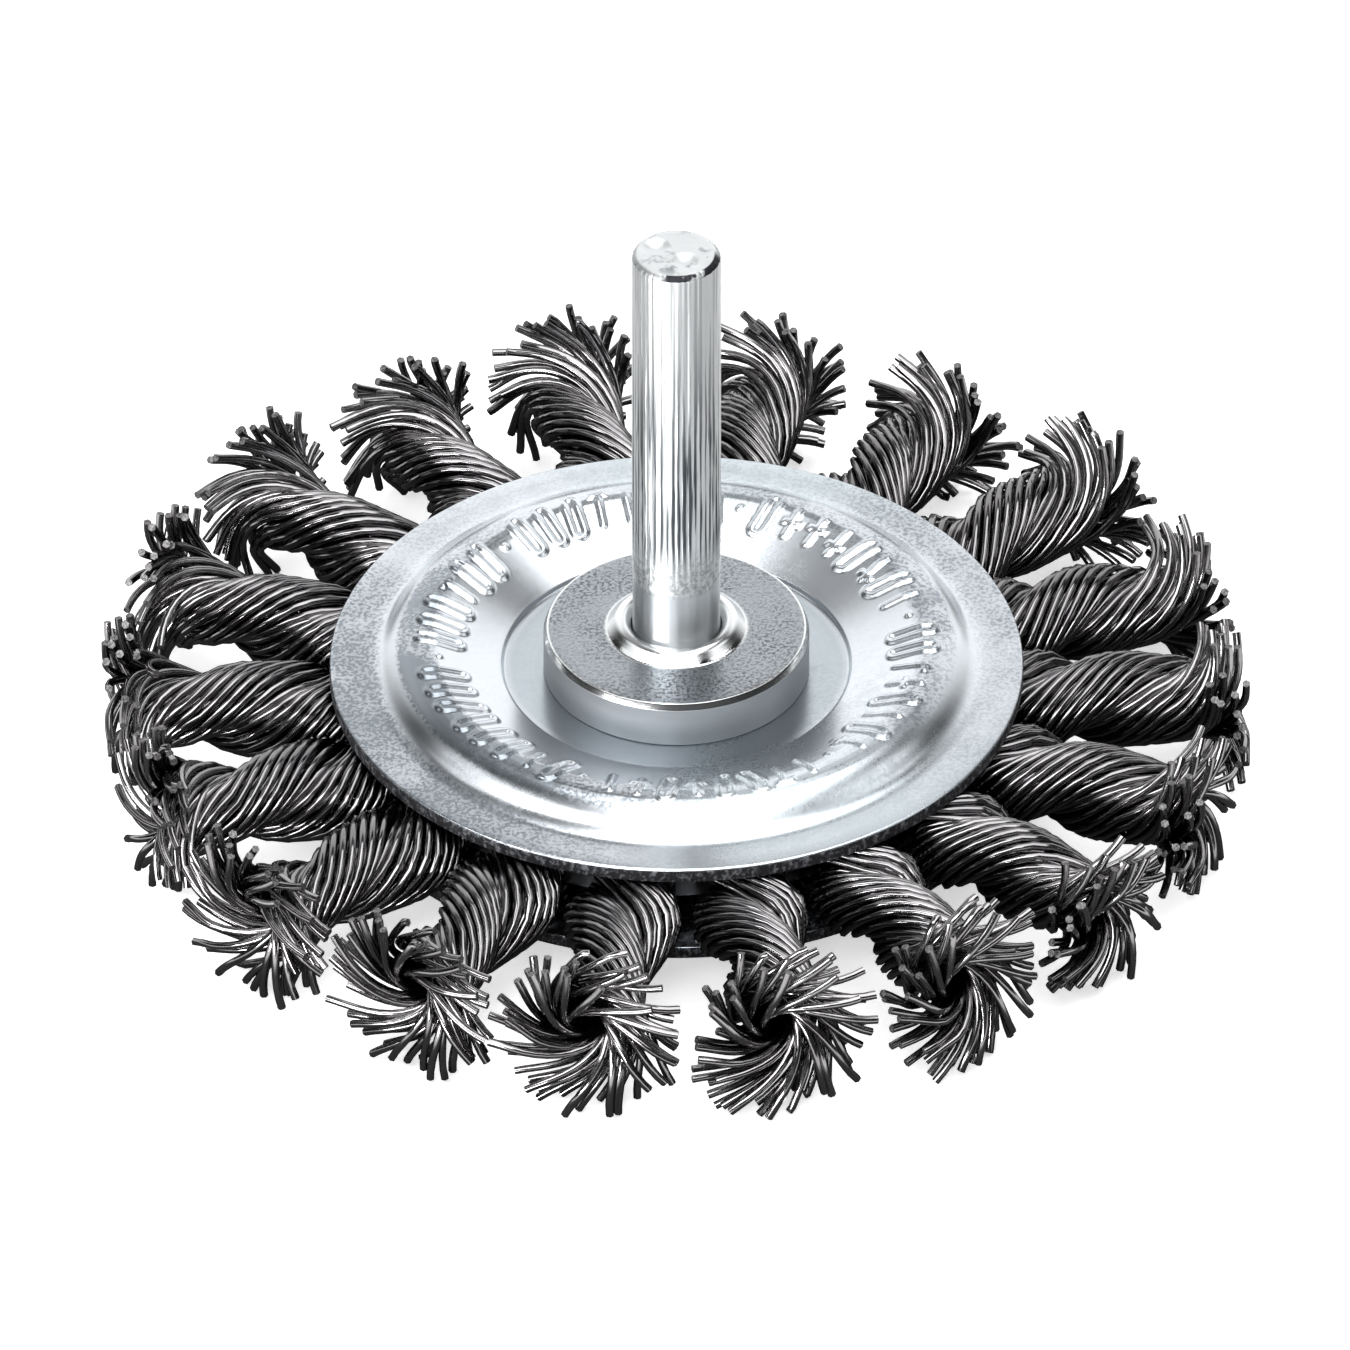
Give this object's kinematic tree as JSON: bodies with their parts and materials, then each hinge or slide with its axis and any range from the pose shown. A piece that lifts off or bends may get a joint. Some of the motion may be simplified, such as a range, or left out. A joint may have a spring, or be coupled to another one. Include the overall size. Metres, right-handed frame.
{
  "type": "wire wheel brush",
  "caption": "Twisted knot wire wheel brush: steel wire knots gripped between two stamped face plates, on a plain round shank with a drive collar.",
  "frame": {"origin": "on the wheel's axis, at the height of the lowest wire ends that the wheel lies on", "axes": "+Z along the wheel's axis towards the free end of the shank; +X along the first knot"},
  "size_m": [0.078, 0.078, 0.0441],
  "materials": {
    "shank_steel": "bright drawn steel with fine lengthwise marks",
    "collar_steel": "dull turned steel, satin",
    "plated_sheet": "bright bluish zinc plating, satin",
    "plain_steel": "plain punched steel",
    "steel_wire": "dark drawn spring steel wire with bright cut ends"
  },
  "bodies": {
    "root": {"shank": "shank_steel", "collar": "collar_steel", "upper_face_plate": "plated_sheet", "lower_face_plate": "plated_sheet", "upper_spacer": "plain_steel", "lower_spacer": "plain_steel", "knot_plate": "plain_steel", "rivet_washer": "plated_sheet", "knot_01": "steel_wire", "knot_02": "steel_wire", "knot_03": "steel_wire", "knot_04": "steel_wire", "knot_05": "steel_wire", "knot_06": "steel_wire", "knot_07": "steel_wire", "knot_08": "steel_wire", "knot_09": "steel_wire", "knot_10": "steel_wire", "knot_11": "steel_wire", "knot_12": "steel_wire", "knot_13": "steel_wire", "knot_14": "steel_wire", "knot_15": "steel_wire", "knot_16": "steel_wire", "knot_17": "steel_wire", "knot_18": "steel_wire"}
  },
  "joints": []
}
